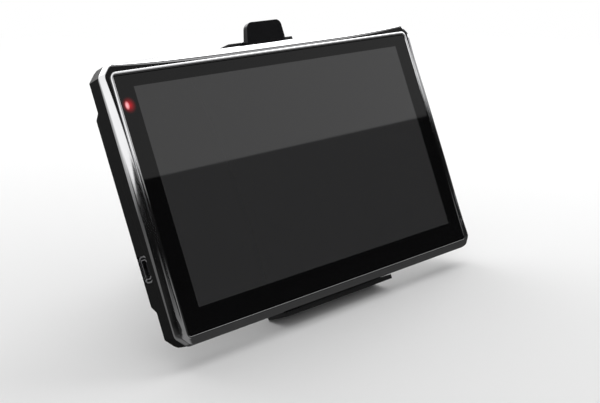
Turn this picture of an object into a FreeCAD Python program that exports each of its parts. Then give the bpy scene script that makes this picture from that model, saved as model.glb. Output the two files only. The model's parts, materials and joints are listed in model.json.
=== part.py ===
import FreeCAD, Part
import math
import os
from FreeCAD import Vector

# A seven inch navigator clipped in a cradle on a suction mount.
# Lengths are in millimetres and angles in degrees.
#
# Device axes, used from the glass to the arm: x to the right seen from the front, y back from the front of
# the glass and z up, with the display's centre as origin. The base is drawn in the row's own axes, whose
# origin is the middle of the suction cup's underside. The function leaned carries the first to the second.

# Lean and stance
LEAN = 23.23
FLOOR_GAP = 0.1

# Display and cover glass
DISPLAY_WIDTH = 154.08
DISPLAY_HEIGHT = 85.92
BORDER_SIDE = 8.0
BORDER_TOP = 4.8
BORDER_BOTTOM = 9.15
GLASS_THICKNESS = 1.1
GLASS_CLIP = 0.5
GLASS_GAP = 0.15

# Front frame
FRAME_SIDE = 4.65
FRAME_TOP = 5.1
FRAME_BOTTOM = 3.5
CASE_CLIP = 4.5
LEAST_CLIP = 0.4
FRAME_EDGE_Y = 2.0
PARTING_Y = 3.0
CREST = 0.35
SHOULDER_SHARE = 0.25
SHOULDER_Y = 0.5
SLOPE_SHARE = 0.56
GROOVE_SHARE = 0.66
LIP_SHARE = 0.76
GROOVE_DEPTH = 0.6
LEDGE_WIDTH = 1.4
LEDGE_THICKNESS = 0.8
TAPE_THICKNESS = 0.2
TAPE_MARGIN = 0.2

# Rear cover
WALL = 1.6
BASE_DEPTH = 9.5
BLOCK_RISE = 3.4
BLOCK_TOP_DROP = 19.6
BLOCK_BOTTOM_RISE = 18.76
COVER_STEP = 0.3
DRAFT = 0.03
REAR_EDGE = 1.0
CASE_SCREW_SIDE = 5.49
CASE_SCREW_DOWN = 8.46
CASE_SCREW_UP = 9.76
CASE_BOSS_RADIUS = 2.4
CASE_BOSS_Y = 6.0
CASE_SCREW_RADIUS = 0.9
CASE_HEAD_RADIUS = 1.7
CASE_HEAD_HEIGHT = 1.2
CASE_HEAD_SINK = 0.1
SCREW_FIT = 0.02
SCREW_CLEARANCE = 0.2

# Display stack
PANEL_MARGIN = 2.4
PANEL_THICKNESS = 1.4
TRAY_OVERLAP = 1.0
TRAY_THICKNESS = 2.4
RIBBON_WIDTH = 20.0
RIBBON_THICKNESS = 0.3
RIBBON_REACH = 3.0

# Main board and what it carries
BOARD_GAP = 1.1
BOARD_THICKNESS = 1.2
BOARD_SIDE_GAP = 1.04
BOARD_DROP = 11.96
BOARD_RISE = 19.76
BOARD_STEP_X = 0.0
BOARD_STEP_RISE = 28.0
BOARD_POST_RADIUS = 2.2
BOARD_SCREW_RADIUS = 0.7
BOARD_SCREW_HEAD = 1.5
BOARD_HEAD_HEIGHT = 0.8
BOARD_SCREW_BITE = 2.6
BOARD_SCREW_CORNER = 8.0
BOARD_SCREW_DROP = 13.5
BOARD_SCREW_RISE = 4.5
BOARD_SCREW_UPPER_X = -30.0
BOARD_SCREW_LOWER_X = -10.0
BOARD_SCREW_JACK = 22.0
CAN_X = -30.0
CAN_RISE = 17.0
CAN_SIZE = (28.0, 22.0)
CAN_HEIGHT = 2.2
CAN_SHEET = 0.25
PROCESSOR_SIZE = 14.0
PROCESSOR_HEIGHT = 1.1
PROCESSOR_OFFSET = 5.0
MEMORY_SIZE = (8.0, 9.0)
MEMORY_HEIGHT = 0.9
MEMORY_OFFSET = -8.0
MEMORY_PITCH = 10.0
ANTENNA_X = -15.0
ANTENNA_DROP = 20.0
ANTENNA_SIZE = 15.0
ANTENNA_HEIGHT = 3.8
ANTENNA_PATCH = 12.0
ANTENNA_PATCH_HEIGHT = 0.1
BATTERY_GAP = 4.0
BATTERY_SIDE_GAP = 8.0
BATTERY_TOP_GAP = 1.4
BATTERY_THICKNESS = 4.9
BATTERY_ROUND = 1.6
PLUG_SIZE = (6.0, 4.0, 1.6)
PLUG_X = 17.0
PLUG_GAP = 2.0
WIRE_WIDTH = 1.0
WIRE_PITCH = 3.0
SPEAKER_SIDE = 28.0
SPEAKER_DROP = 33.5
SPEAKER_RADIUS = 12.0
SPEAKER_MAGNET = 8.0
SPEAKER_MAGNET_HEIGHT = 1.3
SPEAKER_CLEARANCE = 0.5
MESH_THICKNESS = 0.2
RIM_THICKNESS = 1.0
RIM_HEIGHT = 2.0
GRILLE_SLOTS = 6
GRILLE_PITCH = 3.0
GRILLE_WIDTH = 1.2
GRILLE_MARGIN = 3.0
LED_SIDE = 5.26
LED_DROP = 6.46
LED_RADIUS = 1.2

# Sockets in the sides
USB_RISE = 13.0
USB_WIDTH = 7.7
USB_HEIGHT = 3.9
USB_LENGTH = 9.2
USB_SHEET = 0.35
USB_CHAMFER = 1.1
USB_MOUTH_INSET = 0.9
USB_RECESS = (10.5, 5.8)
USB_RECESS_DEPTH = 0.8
USB_TONGUE = (4.8, 1.0)
USB_TONGUE_INSET = 0.9
PORT_CLEARANCE = 0.15
CARD_RISE = 21.0
CARD_WIDTH = 11.0
CARD_LENGTH = 15.0
CARD_THICKNESS = 0.75
CARD_GRIP = 0.3
CARD_GAP = 0.1
CARD_STOP = 1.2
CARD_SOCKET_SHEET = 0.4
CARD_SOCKET_INSET = 3.4
JACK_RISE = 6.0
JACK_BORE = 1.8
JACK_BODY = 6.0
JACK_HEIGHT = 5.8
JACK_LENGTH = 12.0
JACK_BACK_GAP = 0.1
JACK_NOSE_RADIUS = 2.9
JACK_INSET = 0.3
JACK_NOSE_LENGTH = 3.4
JACK_END = 0.6

# Power button
BUTTON_X = -62.0
BUTTON_LENGTH = 12.0
BUTTON_DEPTH = 2.3
BUTTON_PROUD = 0.6
BUTTON_FRONT = 5.05
BUTTON_FLANGE = 1.2
BUTTON_FLANGE_HEIGHT = 1.2
BUTTON_GAP = 0.12
BUTTON_TRAVEL = 0.6
BUTTON_STEM = 2.0
SWITCH_SIZE = (6.0, 2.4, 4.0)
SWITCH_NUB = 0.9
SWITCH_NUB_HEIGHT = 0.6

# Cradle
PAD_THICKNESS = 0.6
PAD_SIZE = (44.0, 8.0)
PAD_EDGE_GAP = 6.0
PLATE_THICKNESS = 2.6
PLATE_HALF_WIDTH = 28.0
SHELF_HALF_WIDTH = 32.4
SHELF_FRONT = 2.9
SHELF_THICKNESS = 1.8
SHELF_GAP = 0.45
SHELF_PAD_GAP = 0.1
SHELF_PAD_FRONT = 3.8
FLANGE_HALF_WIDTH = 18.5
FLANGE_SLOPE = 3.0
FLANGE_TOP_GAP = 0.5
FLANGE_THICKNESS = 2.0
FLANGE_FRONT = 6.3
WINDOW_GAP = 0.4
WINDOW_BOTTOM_GAP = 0.6
RIB_HALF_WIDTH = 1.2
RIB_HEIGHT = 1.4
RIB_X = 22.0

# Release latch
TAB_HALF_WIDTH = 11.0
TAB_TOP = 62.5
TAB_FRONT = 3.0
TAB_LEAN = 1.6
TAB_TAPER = 1.2
TAB_THICKNESS = 2.2
TAB_ROUND = 3.0
FINGER_GAP = 0.35
FINGER_THICKNESS = 2.1
LATCH_PLATE = 2.2
LATCH_PIN_BACK = 2.1
LATCH_PIN_DOWN = 8.5
LATCH_EYE = 2.0
LATCH_PIN_RADIUS = 0.9
LATCH_PIN_FIT = 0.05
CHEEK_WIDTH = 4.5
CHEEK_HALF_HEIGHT = 3.0
SPRING_RADIUS = 1.9
SPRING_WIRE = 0.5
SPRING_HALF_LENGTH = 3.0
SPRING_LEG = 4.0

# Ball joint, on the cradle's back
BALL_RADIUS = 8.5
BALL_SEAT_FLOOR = 0.8
LINER_FIT = 0.05
LINER_THICKNESS = 1.45
SEAT_FIT = 0.1
SOCKET_RADIUS = 12.0
SOCKET_FLANGE = 17.0
SOCKET_FLANGE_THICKNESS = 2.0
SOCKET_SCREW = 13.5
SOCKET_SCREW_RADIUS = 1.2
SOCKET_HEAD_RADIUS = 2.2
SOCKET_HEAD_HEIGHT = 1.4
SOCKET_MOUTH = 0.5
NUT_FIT = 0.08
NUT_RADIUS = 15.0
NUT_START = 5.5
NUT_END = 7.2
NUT_RIBS = 16
NUT_RIB_RADIUS = 1.0
NUT_OPENING = 43.0
LINER_OPENING = 38.0
LINER_BACK = 8.4

# Arm
ARM_LENGTH = 36.0
STEM_RADIUS = 3.0
ARM_START = 14.5
ARM_HALF_HEIGHT = 5.5
KNUCKLE_RADIUS = 9.0
KNUCKLE_HALF_WIDTH = 7.0
STEM_BITE = 6.5
WASHER_THICKNESS = 0.8
WASHER_RADIUS = 7.0

# Suction base
HINGE_HEIGHT = 24.8
CUP_RADIUS = 28.0
CUP_RIM = 1.6
CUP_SHOULDER = 2.6
CUP_FLAT_OUT = 26.0
CUP_FLAT_IN = 20.0
CUP_HUB_RADIUS = 9.0
CUP_HUB_FOOT = 4.6
CUP_HUB_TOP = 5.6
CUP_FLOOR = 1.2
HOUSING_RADIUS = 25.0
HOUSING_SKIRT = 3.4
HOUSING_KNEE_RADIUS = 20.0
HOUSING_KNEE = 12.0
HOUSING_CROWN_RADIUS = 12.0
HOUSING_TOP = 15.2
HOUSING_WALL = 2.4
EAR_THICKNESS = 4.5
BOLT_RADIUS = 2.5
BOLT_FIT = 0.05
BOLT_HEAD_RADIUS = 4.6
BOLT_HEAD_HEIGHT = 3.0
KNOB_RADIUS = 9.5
KNOB_LENGTH = 11.0
KNOB_LOBES = 6
KNOB_LOBE_RADIUS = 2.6
KNOB_LOBE_OUT = 10.6
KNOB_GAP = 0.1
INSERT_RADIUS = 4.0
INSERT_LENGTH = 8.0

# Suction lever and plunger
PLUNGER_TRAVEL = 2.0
LEVER_SWING = 75.0
PLUNGER_DISC = 6.0
PLUNGER_DISC_HEIGHT = 1.2
PLUNGER_GAP = 0.1
PLUNGER_RADIUS = 2.4
PLUNGER_FIT = 0.05
TAIL_HALF_WIDTH = 5.0
TAIL_FRONT = -4.0
TAIL_END = 19.0
TAIL_BOTTOM = 8.15
TAIL_THICKNESS = 1.4
GUIDE_RADIUS = 4.4
GUIDE_GAP = 0.2
GUIDE_DEPTH = 3.0
CAM_RADIUS = 5.3
CAM_GAP = 0.15
LEVER_PIN_Y = 15.0
LEVER_PIN_RADIUS = 1.5
LEVER_PIN_FIT = 0.05
LEVER_HALF_WIDTH = 5.7
LEVER_GAP = 0.3
LEVER_CHEEK = 3.0
LEVER_CHEEK_RADIUS = 4.0
HANDLE_HALF_WIDTH = 9.0
HANDLE_START = 21.5
HANDLE_END = 34.0
HANDLE_TIP_LOW = 7.0
HANDLE_TIP_HIGH = 9.4
HANDLE_ROOT_LOW = 12.8
HANDLE_ROOT_HIGH = 16.2
HANDLE_ROUND = 3.0


class Outline:
    """A case outline seen from the front: a rectangle with clipped corners."""

    def __init__(self, half_width, top, bottom, clip):
        self.half_width = half_width
        self.top = top
        self.bottom = bottom
        self.clip = clip

    def inset(self, distance):
        corner = self.clip - distance * (2 - math.sqrt(2))
        return Outline(self.half_width - distance, self.top - distance, self.bottom + distance,
                       max(corner, LEAST_CLIP))

    def towards(self, other, share):
        def mix(a, b):
            return a + (b - a) * share
        return Outline(mix(self.half_width, other.half_width), mix(self.top, other.top),
                       mix(self.bottom, other.bottom), mix(self.clip, other.clip))

    def wire(self, y):
        w = self.half_width
        c = self.clip
        spots = [(c - w, self.top), (w - c, self.top), (w, self.top - c), (w, self.bottom + c),
                 (w - c, self.bottom), (c - w, self.bottom), (-w, self.bottom + c), (-w, self.top - c)]
        corners = [Vector(x, y, z) for x, z in spots]
        return Part.makePolygon(corners + corners[:1])

    def prism(self, front, back):
        return Part.Face(self.wire(front)).extrude(Vector(0, back - front, 0))


def box(x0, x1, y0, y1, z0, z1):
    return Part.makeBox(x1 - x0, y1 - y0, z1 - z0, Vector(x0, y0, z0))


def rod(radius, start, direction, length):
    return Part.makeCylinder(radius, length, Vector(*start), Vector(*direction))


def prism_x(points, x0, x1):
    """A polygon of (y, z) points, drawn out along x."""
    corners = [Vector(x0, y, z) for y, z in points]
    face = Part.Face(Part.makePolygon(corners + corners[:1]))
    return face.extrude(Vector(x1 - x0, 0, 0))


def turned(points):
    """A polygon of (radius, height) points turned about the z axis."""
    corners = [Vector(r, 0, z) for r, z in points]
    face = Part.Face(Part.makePolygon(corners + corners[:1]))
    return face.revolve(Vector(0, 0, 0), Vector(0, 0, 1), 360)


def rounded(shape, radius, chosen):
    """Fillets the edges that the test picks."""
    edges = [edge for edge in shape.Edges if chosen(edge)]
    return shape.makeFillet(radius, edges) if edges else shape


def runs_along(edge, axis):
    if not isinstance(edge.Curve, Part.Line):
        return False
    return abs(edge.tangentAt(edge.FirstParameter).dot(axis)) > 0.999


def joined(shapes):
    whole = shapes[0].fuse(shapes[1:]) if len(shapes) > 1 else shapes[0]
    return whole.removeSplitter()


def apart(shapes):
    return Part.makeCompound(shapes)


X = Vector(1, 0, 0)
Y = Vector(0, 1, 0)
Z = Vector(0, 0, 1)
SIDES = (-1, 1)

# Outlines
glass = Outline(DISPLAY_WIDTH / 2 + BORDER_SIDE, DISPLAY_HEIGHT / 2 + BORDER_TOP,
                -DISPLAY_HEIGHT / 2 - BORDER_BOTTOM, GLASS_CLIP)
opening = glass.inset(-GLASS_GAP)
case = Outline(opening.half_width + FRAME_SIDE, opening.top + FRAME_TOP,
               opening.bottom - FRAME_BOTTOM, CASE_CLIP)

block_top = case.top - BLOCK_TOP_DROP
block_bottom = case.bottom + BLOCK_BOTTOM_RISE
board_half = glass.half_width - BOARD_SIDE_GAP
board_top = case.top - BOARD_DROP
board_bottom = case.bottom + BOARD_RISE
board_step_z = board_bottom + BOARD_STEP_RISE
battery_left = BOARD_STEP_X + BATTERY_GAP
battery_right = board_half - BATTERY_SIDE_GAP
battery_bottom = board_step_z + BATTERY_GAP
battery_top = block_top - BATTERY_TOP_GAP
can_centre = (CAN_X, board_bottom + CAN_RISE)
antenna_centre = (ANTENNA_X, board_top - ANTENNA_DROP)
speaker_centre = (SPEAKER_SIDE - board_half, board_top - SPEAKER_DROP)
led_centre = (-DISPLAY_WIDTH / 2 - LED_SIDE, DISPLAY_HEIGHT / 2 - LED_DROP)
usb_z = block_bottom + USB_RISE
card_z = block_bottom + CARD_RISE
jack_z = block_bottom + JACK_RISE
board_spots = [(BOARD_SCREW_CORNER - board_half, board_top - BOARD_SCREW_DROP),
               (BOARD_SCREW_UPPER_X, board_top - BOARD_SCREW_DROP),
               (BOARD_SCREW_LOWER_X, board_bottom + BOARD_SCREW_RISE),
               (board_half - BOARD_SCREW_JACK, board_bottom + BOARD_SCREW_RISE)]

# Depths
block_depth = BASE_DEPTH + BLOCK_RISE
ledge_y = GLASS_THICKNESS + TAPE_THICKNESS
panel_back = GLASS_THICKNESS + PANEL_THICKNESS
tray_back = panel_back + TRAY_THICKNESS
board_front = tray_back + BOARD_GAP
board_back = board_front + BOARD_THICKNESS
block_inside = block_depth - WALL
base_inside = BASE_DEPTH - WALL
ramp_shift = math.sqrt(2) - 1
plate_front = block_depth + PAD_THICKNESS
plate_back = plate_front + PLATE_THICKNESS
flange_front = BASE_DEPTH + PAD_THICKNESS
flange_back = flange_front + PLATE_THICKNESS
shelf_top = case.bottom - SHELF_GAP
shelf_bottom = shelf_top - SHELF_THICKNESS
ball_seat = BALL_RADIUS + LINER_FIT + LINER_THICKNESS + SEAT_FIT
ball_y = plate_back + BALL_SEAT_FLOOR + ball_seat
hinge_y = ball_y + ARM_LENGTH
latch_pin_y = flange_front + LATCH_PIN_BACK
latch_pin_z = case.top - LATCH_PIN_DOWN

# Where the display's centre lies in the row's axes
sin_lean = math.sin(math.radians(LEAN))
cos_lean = math.cos(math.radians(LEAN))
display_z = FLOOR_GAP + plate_back * sin_lean - shelf_bottom * cos_lean
ball_z = (HINGE_HEIGHT - display_z + hinge_y * sin_lean) / cos_lean
display_y = -hinge_y * cos_lean - ball_z * sin_lean

# Base heights
cam_throw = PLUNGER_TRAVEL / (2 * math.sin(math.radians(LEVER_SWING / 2)))
tail_top = TAIL_BOTTOM + TAIL_THICKNESS
lever_pin_z = tail_top + CAM_GAP + CAM_RADIUS - PLUNGER_TRAVEL / 2
ear_inside = KNUCKLE_HALF_WIDTH + WASHER_THICKNESS
ear_outside = ear_inside + EAR_THICKNESS
disc_bottom = CUP_FLOOR + PLUNGER_GAP + PLUNGER_TRAVEL
disc_top = disc_bottom + PLUNGER_DISC_HEIGHT


def leaned(shape):
    placed = shape.copy()
    placed.rotate(Vector(0, 0, 0), X, -LEAN)
    placed.translate(Vector(0, display_y, display_z))
    return placed


def row_point(x, y, z):
    """A device point in the row's axes."""
    return (x, display_y + y * cos_lean + z * sin_lean, display_z - y * sin_lean + z * cos_lean)


def cover_inset(y):
    """How far the rear cover's side lies inside the case outline."""
    return COVER_STEP + DRAFT * (y - PARTING_Y)


def case_spots():
    x = case.half_width - CASE_SCREW_SIDE
    return [(side * x, z) for side in SIDES
            for z in (case.top - CASE_SCREW_DOWN, case.bottom + CASE_SCREW_UP)]


# Cover glass, display and what lies behind them
def cover_glass():
    return glass.prism(0, GLASS_THICKNESS)


def glass_tape():
    ring = glass.inset(TAPE_MARGIN).prism(GLASS_THICKNESS, ledge_y)
    return ring.cut(glass.inset(LEDGE_WIDTH).prism(GLASS_THICKNESS, ledge_y))


def display_box(grow, front, back):
    return box(-DISPLAY_WIDTH / 2 - grow, DISPLAY_WIDTH / 2 + grow, front, back,
               -DISPLAY_HEIGHT / 2 - grow, DISPLAY_HEIGHT / 2 + grow)


def lcd_panel():
    return display_box(PANEL_MARGIN, GLASS_THICKNESS, panel_back)


def backlight_tray():
    return display_box(PANEL_MARGIN + TRAY_OVERLAP, panel_back, tray_back)


def display_ribbon():
    foot = -DISPLAY_HEIGHT / 2 - PANEL_MARGIN - TRAY_OVERLAP
    half = RIBBON_WIDTH / 2
    drop = box(-half, half, panel_back, board_front, foot - RIBBON_THICKNESS, foot)
    run = box(-half, half, board_front - RIBBON_THICKNESS, board_front, foot - RIBBON_THICKNESS,
              board_bottom + RIBBON_REACH)
    return joined([drop, run])


# Case
def front_frame():
    crest = case.towards(opening, SLOPE_SHARE)
    steps = [case.wire(PARTING_Y), case.wire(FRAME_EDGE_Y),
             case.towards(opening, SHOULDER_SHARE).wire(SHOULDER_Y), crest.wire(-CREST)]
    body = Part.makeLoft(steps, True, True)
    groove = case.towards(opening, GROOVE_SHARE).wire(GROOVE_DEPTH - CREST)
    outer = Part.makeLoft([crest.wire(-CREST), groove], True, True)
    inner = Part.makeLoft([case.towards(opening, LIP_SHARE).wire(-CREST), groove], True, True)
    body = body.cut(outer.cut(inner))
    body = body.cut(opening.prism(-CREST, ledge_y))
    ledge_back = ledge_y + LEDGE_THICKNESS
    body = body.cut(glass.inset(LEDGE_WIDTH).prism(ledge_y, ledge_back))
    body = body.cut(case.inset(COVER_STEP + WALL).prism(ledge_back, PARTING_Y))
    bosses = [rod(CASE_BOSS_RADIUS, (x, ledge_y, z), (0, 1, 0), CASE_BOSS_Y - ledge_y)
              for x, z in case_spots()]
    holes = [rod(CASE_SCREW_RADIUS + SCREW_FIT, (x, PARTING_Y, z), (0, 1, 0), CASE_BOSS_Y)
             for x, z in case_spots()]
    body = joined([body] + bosses).cut(apart(holes))
    return body.cut(glass.prism(0, ledge_y))


def cover_profile(shrink):
    """Side view of the rear cover, or of its inside."""
    deep = block_depth - shrink
    shallow = BASE_DEPTH - shrink
    top = block_top - shrink * ramp_shift
    bottom = block_bottom + shrink * ramp_shift
    edge = REAR_EDGE if shrink == 0 else 0.5 * REAR_EDGE
    high = case.top - cover_inset(shallow) - shrink
    low = case.bottom + cover_inset(shallow) + shrink
    far = 2 * WALL
    return [(PARTING_Y, low - far), (shallow - edge - far, low - far), (shallow, low + edge),
            (shallow, bottom - BLOCK_RISE), (deep, bottom), (deep, top),
            (shallow, top + BLOCK_RISE), (shallow, high - edge),
            (shallow - edge - far, high + far), (PARTING_Y, high + far)]


def cover_solid(shrink):
    deep = block_depth - shrink
    knee = deep - REAR_EDGE
    steps = [(PARTING_Y, 0.0), (knee, 0.0), (deep, REAR_EDGE)]
    wires = [case.inset(cover_inset(y) + shrink + edge).wire(y) for y, edge in steps]
    body = Part.makeLoft(wires, True, True)
    reach = case.half_width + WALL
    return body.common(prism_x(cover_profile(shrink), -reach, reach))


def rear_cover():
    shell = cover_solid(0.0).cut(cover_solid(WALL))
    posts = [rod(CASE_BOSS_RADIUS, (x, CASE_BOSS_Y, z), (0, 1, 0), base_inside - CASE_BOSS_Y)
             for x, z in case_spots()]
    posts += [rod(BOARD_POST_RADIUS, (x, board_back, z), (0, 1, 0), block_inside - board_back)
              for x, z in board_spots]
    sx, sz = speaker_centre
    rim_start = (sx, block_inside - RIM_HEIGHT, sz)
    rim_inner = SPEAKER_RADIUS + PORT_CLEARANCE
    rim = rod(rim_inner + RIM_THICKNESS, rim_start, (0, 1, 0), RIM_HEIGHT)
    shell = joined([shell, rim] + posts)
    cuts = [rod(rim_inner, rim_start, (0, 1, 0), RIM_HEIGHT)]
    for x, z in case_spots():
        head = BASE_DEPTH - CASE_HEAD_SINK - CASE_HEAD_HEIGHT
        cuts.append(rod(CASE_SCREW_RADIUS + SCREW_CLEARANCE, (x, PARTING_Y, z), (0, 1, 0), block_depth))
        cuts.append(rod(CASE_HEAD_RADIUS + SCREW_CLEARANCE, (x, head, z), (0, 1, 0), block_depth))
    for x, z in board_spots:
        cuts.append(rod(BOARD_SCREW_RADIUS + SCREW_FIT, (x, board_back, z), (0, 1, 0), BOARD_SCREW_BITE))
    cuts += grille_slots() + [usb_hole(), card_hole(), jack_hole(), button_hole()]
    return shell.cut(cuts)


def grille_slots():
    sx, sz = speaker_centre
    slots = []
    for index in range(GRILLE_SLOTS):
        z = (index - (GRILLE_SLOTS - 1) / 2) * GRILLE_PITCH
        half = math.sqrt((SPEAKER_RADIUS - GRILLE_MARGIN) ** 2 - z ** 2)
        slots.append(box(sx - half, sx + half, block_inside, block_depth,
                         sz + z - GRILLE_WIDTH / 2, sz + z + GRILLE_WIDTH / 2))
    return slots


def case_screws():
    head = BASE_DEPTH - CASE_HEAD_SINK - CASE_HEAD_HEIGHT
    screws = []
    for x, z in case_spots():
        shank = rod(CASE_SCREW_RADIUS, (x, PARTING_Y, z), (0, 1, 0), head - PARTING_Y)
        top = rod(CASE_HEAD_RADIUS, (x, head, z), (0, 1, 0), CASE_HEAD_HEIGHT)
        cross = slotted(x, head + CASE_HEAD_HEIGHT, z, CASE_HEAD_RADIUS)
        screws.append(joined([shank, top]).cut(cross))
    return apart(screws)


def slotted(x, y, z, radius):
    """A cross recess in a screw head that faces back."""
    arm = 0.65 * radius
    half = 0.14 * radius
    deep = 0.35 * radius
    return joined([box(x - arm, x + arm, y - deep, y, z - half, z + half),
                   box(x - half, x + half, y - deep, y, z - arm, z + arm)])


# Board
def main_board():
    plate = joined([
        box(-board_half, board_half, board_front, board_back, board_bottom, board_step_z),
        box(-board_half, BOARD_STEP_X, board_front, board_back, board_step_z, board_top)])
    width, _, height = SWITCH_SIZE
    notch = box(BUTTON_X - width / 2 - PORT_CLEARANCE, BUTTON_X + width / 2 + PORT_CLEARANCE,
                board_front, board_back, board_top - height - PORT_CLEARANCE, board_top)
    jack = box(jack_start() - PORT_CLEARANCE, board_half, board_front, board_back,
               jack_z - JACK_BODY / 2 - PORT_CLEARANCE, jack_z + JACK_BODY / 2 + PORT_CLEARANCE)
    holes = [rod(BOARD_SCREW_RADIUS + SCREW_CLEARANCE, (x, board_front, z), (0, 1, 0), BOARD_THICKNESS)
             for x, z in board_spots]
    return plate.cut([notch, jack] + holes)


def board_screws():
    screws = []
    for x, z in board_spots:
        head = rod(BOARD_SCREW_HEAD, (x, board_front - BOARD_HEAD_HEIGHT, z), (0, 1, 0), BOARD_HEAD_HEIGHT)
        shank = rod(BOARD_SCREW_RADIUS, (x, board_front, z), (0, 1, 0),
                    BOARD_THICKNESS + BOARD_SCREW_BITE)
        screws.append(joined([head, shank]))
    return apart(screws)


def on_board(centre, size, height, bottom=None):
    base = board_back if bottom is None else bottom
    x, z = centre
    w, h = size
    return box(x - w / 2, x + w / 2, base, base + height, z - h / 2, z + h / 2)


def shield_can():
    w, h = CAN_SIZE
    inner = (w - 2 * CAN_SHEET, h - 2 * CAN_SHEET)
    outside = on_board(can_centre, CAN_SIZE, CAN_HEIGHT)
    outside = rounded(outside, 1.0, lambda e: runs_along(e, Y))
    return outside.cut(on_board(can_centre, inner, CAN_HEIGHT - CAN_SHEET))


def processor():
    x, z = can_centre
    return on_board((x + PROCESSOR_OFFSET, z), (PROCESSOR_SIZE, PROCESSOR_SIZE), PROCESSOR_HEIGHT)


def memory_chips():
    x, z = can_centre
    return apart([on_board((x + MEMORY_OFFSET, z + side * MEMORY_PITCH / 2), MEMORY_SIZE, MEMORY_HEIGHT)
                  for side in SIDES])


def gps_antenna():
    block = on_board(antenna_centre, (ANTENNA_SIZE, ANTENNA_SIZE), ANTENNA_HEIGHT)
    patch = on_board(antenna_centre, (ANTENNA_PATCH, ANTENNA_PATCH), ANTENNA_PATCH_HEIGHT,
                     board_back + ANTENNA_HEIGHT)
    return joined([block, patch])


def battery():
    cell = box(battery_left, battery_right, block_inside - BATTERY_THICKNESS, block_inside,
               battery_bottom, battery_top)
    return rounded(cell, BATTERY_ROUND, lambda e: runs_along(e, Z))


def battery_lead():
    width, height, thickness = PLUG_SIZE
    top = battery_bottom - PLUG_GAP - height
    plug = box(PLUG_X - width / 2, PLUG_X + width / 2, board_back, board_back + thickness,
               top - height, top)
    wires = []
    for side in SIDES:
        middle = PLUG_X + side * WIRE_PITCH / 2
        wires.append(box(middle - WIRE_WIDTH / 2, middle + WIRE_WIDTH / 2, board_back,
                         board_back + WIRE_WIDTH, top, battery_bottom))
    return joined([plug] + wires)


def speaker():
    sx, sz = speaker_centre
    back = block_inside - MESH_THICKNESS
    front = board_back + SPEAKER_CLEARANCE
    magnet = rod(SPEAKER_MAGNET, (sx, front, sz), (0, 1, 0), SPEAKER_MAGNET_HEIGHT)
    basket = rod(SPEAKER_RADIUS, (sx, front + SPEAKER_MAGNET_HEIGHT, sz), (0, 1, 0),
                 back - front - SPEAKER_MAGNET_HEIGHT)
    return joined([magnet, basket])


def speaker_mesh():
    sx, sz = speaker_centre
    return rod(SPEAKER_RADIUS, (sx, block_inside - MESH_THICKNESS, sz), (0, 1, 0), MESH_THICKNESS)


def status_led():
    lx, lz = led_centre
    return rod(LED_RADIUS, (lx, GLASS_THICKNESS, lz), (0, 1, 0), board_front - GLASS_THICKNESS)


# Sockets
def usb_face():
    """Where the left side face lies at the port, as a distance from the middle."""
    return case.half_width - cover_inset(board_back + USB_HEIGHT / 2)


def usb_section(shrink, x0, x1):
    half = USB_WIDTH / 2 - shrink
    low = board_back + shrink
    high = board_back + USB_HEIGHT - shrink
    c = USB_CHAMFER
    points = [(low, usb_z - half + c), (low, usb_z + half - c), (low + c, usb_z + half),
              (high, usb_z + half), (high, usb_z - half), (low + c, usb_z - half)]
    return prism_x(points, x0, x1)


def usb_socket():
    mouth = -usb_face() + USB_MOUTH_INSET
    back = mouth + USB_LENGTH
    shell = usb_section(0.0, mouth, back)
    return shell.cut(usb_section(USB_SHEET, mouth, back - USB_SHEET))


def usb_tongue():
    mouth = -usb_face() + USB_MOUTH_INSET
    back = mouth + USB_LENGTH - USB_SHEET
    width, thickness = USB_TONGUE
    y = board_back + USB_HEIGHT / 2
    tongue = box(mouth + USB_TONGUE_INSET, back, y - thickness / 2, y + thickness / 2,
                 usb_z - width / 2, usb_z + width / 2)
    return tongue


def usb_hole():
    face = usb_face()
    y = board_back + USB_HEIGHT / 2
    width, height = USB_RECESS
    recess = box(-face - WALL, -face + USB_RECESS_DEPTH, y - height / 2, y + height / 2,
                 usb_z - width / 2, usb_z + width / 2)
    recess = rounded(recess, 1.2, lambda e: runs_along(e, X))
    port = usb_section(-PORT_CLEARANCE, -face, -face + 3 * WALL)
    return joined([recess, port])


def card_face():
    return case.half_width - cover_inset(card_y())


def card_y():
    return board_back + CARD_SOCKET_SHEET + CARD_GAP + CARD_THICKNESS / 2


def card_socket():
    mouth = card_face() - CARD_SOCKET_INSET
    deep = card_face() + CARD_GRIP - CARD_LENGTH - CARD_STOP
    half = CARD_WIDTH / 2 + CARD_GAP
    slot = CARD_THICKNESS / 2 + CARD_GAP
    top = card_y() + slot + CARD_SOCKET_SHEET
    body = box(deep - CARD_SOCKET_SHEET, mouth, board_back, top,
               card_z - half - CARD_SOCKET_SHEET, card_z + half + CARD_SOCKET_SHEET)
    return body.cut(box(deep, mouth, card_y() - slot, card_y() + slot, card_z - half, card_z + half))


def memory_card():
    end = card_face() + CARD_GRIP
    card = box(end - CARD_LENGTH, end, card_y() - CARD_THICKNESS / 2, card_y() + CARD_THICKNESS / 2,
               card_z - CARD_WIDTH / 2, card_z + CARD_WIDTH / 2)
    return rounded(card, 0.6, lambda e: runs_along(e, Y))


def card_hole():
    half = CARD_WIDTH / 2 + PORT_CLEARANCE
    slot = CARD_THICKNESS / 2 + PORT_CLEARANCE
    face = card_face()
    return box(face - 3 * WALL, face + WALL, card_y() - slot, card_y() + slot,
               card_z - half, card_z + half)


def jack_y():
    return block_inside - JACK_BACK_GAP - JACK_HEIGHT / 2


def jack_start():
    return jack_mouth() - JACK_NOSE_LENGTH - JACK_LENGTH


def jack_mouth():
    return case.half_width - cover_inset(jack_y()) - JACK_INSET


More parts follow.
